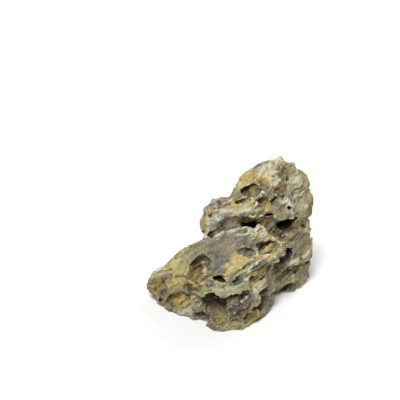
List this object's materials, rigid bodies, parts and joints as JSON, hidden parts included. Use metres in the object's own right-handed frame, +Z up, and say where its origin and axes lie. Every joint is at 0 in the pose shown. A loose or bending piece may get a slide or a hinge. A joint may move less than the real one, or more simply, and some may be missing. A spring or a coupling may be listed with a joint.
{
  "type": "dragon stone",
  "caption": "Rough weathered clay stone, a low lobe in front of a taller ledge and crown, bitten all over by scoops and pits.",
  "frame": {"origin": "middle of the stone's bounding box, at the level of the flat it rests on", "axes": "+Z up, +X to the right along the stone's length, -Y towards the side with the low front lobe"},
  "size_m": [0.1686, 0.1236, 0.1419],
  "materials": {
    "clay_stone": "rough, matt, mottled ochre, khaki, grey and brown"
  },
  "bodies": {
    "root": {"stone": "clay_stone"}
  },
  "joints": []
}
